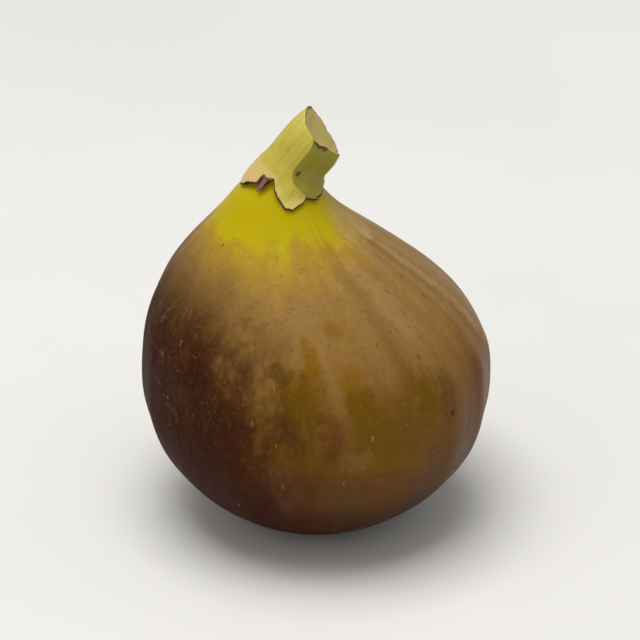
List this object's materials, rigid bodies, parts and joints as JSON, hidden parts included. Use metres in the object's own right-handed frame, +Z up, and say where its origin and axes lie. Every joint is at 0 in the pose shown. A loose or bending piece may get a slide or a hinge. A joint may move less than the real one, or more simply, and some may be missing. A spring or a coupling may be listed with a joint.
{
  "type": "fresh fig",
  "caption": "Whole ripe fig standing on its base, with a leaning neck, a short cut stalk with lobed bracts, and a small scaly eye underneath.",
  "frame": {"origin": "middle of the flat ring that the fig stands on, in the plane of that ring", "axes": "+Z up from the eye to the stalk; -Y is the side seen in the picture; the neck leans towards -X and the stalk bends towards +X"},
  "size_m": [0.0497, 0.0484, 0.0623],
  "materials": {
    "skin": "satin",
    "stalk": "matte",
    "eye": "matte"
  },
  "bodies": {
    "root": {"fruit": "skin", "stalk": "stalk", "eye_scales": "eye"}
  },
  "joints": []
}
